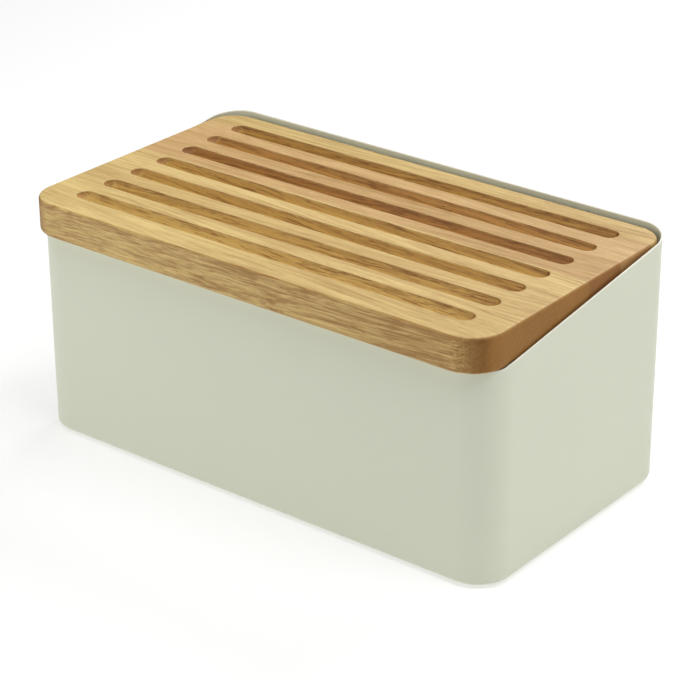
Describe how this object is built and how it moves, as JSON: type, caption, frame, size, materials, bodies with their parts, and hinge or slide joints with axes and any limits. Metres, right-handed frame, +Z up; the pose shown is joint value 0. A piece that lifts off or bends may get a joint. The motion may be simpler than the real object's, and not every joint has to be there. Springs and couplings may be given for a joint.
{
  "type": "bread box",
  "caption": "Sheet steel bread box with rounded corners and a rim that slopes up to the back, closed by a loose oak board with blind crumb grooves that lifts off.",
  "frame": {"origin": "on the table, under the middle of the whole object, lid overhang included", "axes": "+X along the front to the right, +Y from the front wall to the rear wall, +Z up"},
  "size_m": [0.34, 0.191, 0.159],
  "materials": {
    "coated_steel": "matt powder coat, pale sage cream",
    "oak": "oiled oak, edge-glued staves",
    "batten_oak": "oiled oak",
    "pad_silicone": "translucent white silicone",
    "foot_rubber": "matt black rubber",
    "screw_steel": "zinc plated"
  },
  "bodies": {
    "box": {"wall_shell": "coated_steel", "floor_pan": "coated_steel", "lid_rest_left": "coated_steel", "lid_rest_right": "coated_steel", "rest_pad_left": "pad_silicone", "rest_pad_right": "pad_silicone", "foot_front_left": "foot_rubber", "foot_front_right": "foot_rubber", "foot_rear_left": "foot_rubber", "foot_rear_right": "foot_rubber"},
    "lid": {"stave_1": "oak", "stave_2": "oak", "stave_3": "oak", "stave_4": "oak", "stave_5": "oak", "stave_6": "oak", "batten_left": "batten_oak", "batten_right": "batten_oak", "batten_screws": "screw_steel"}
  },
  "joints": [
    {"name": "lid_lift", "type": "slide", "parent": "box", "child": "lid", "axis": [0, 0, 1], "range_m": [0, 0.08]}
  ]
}
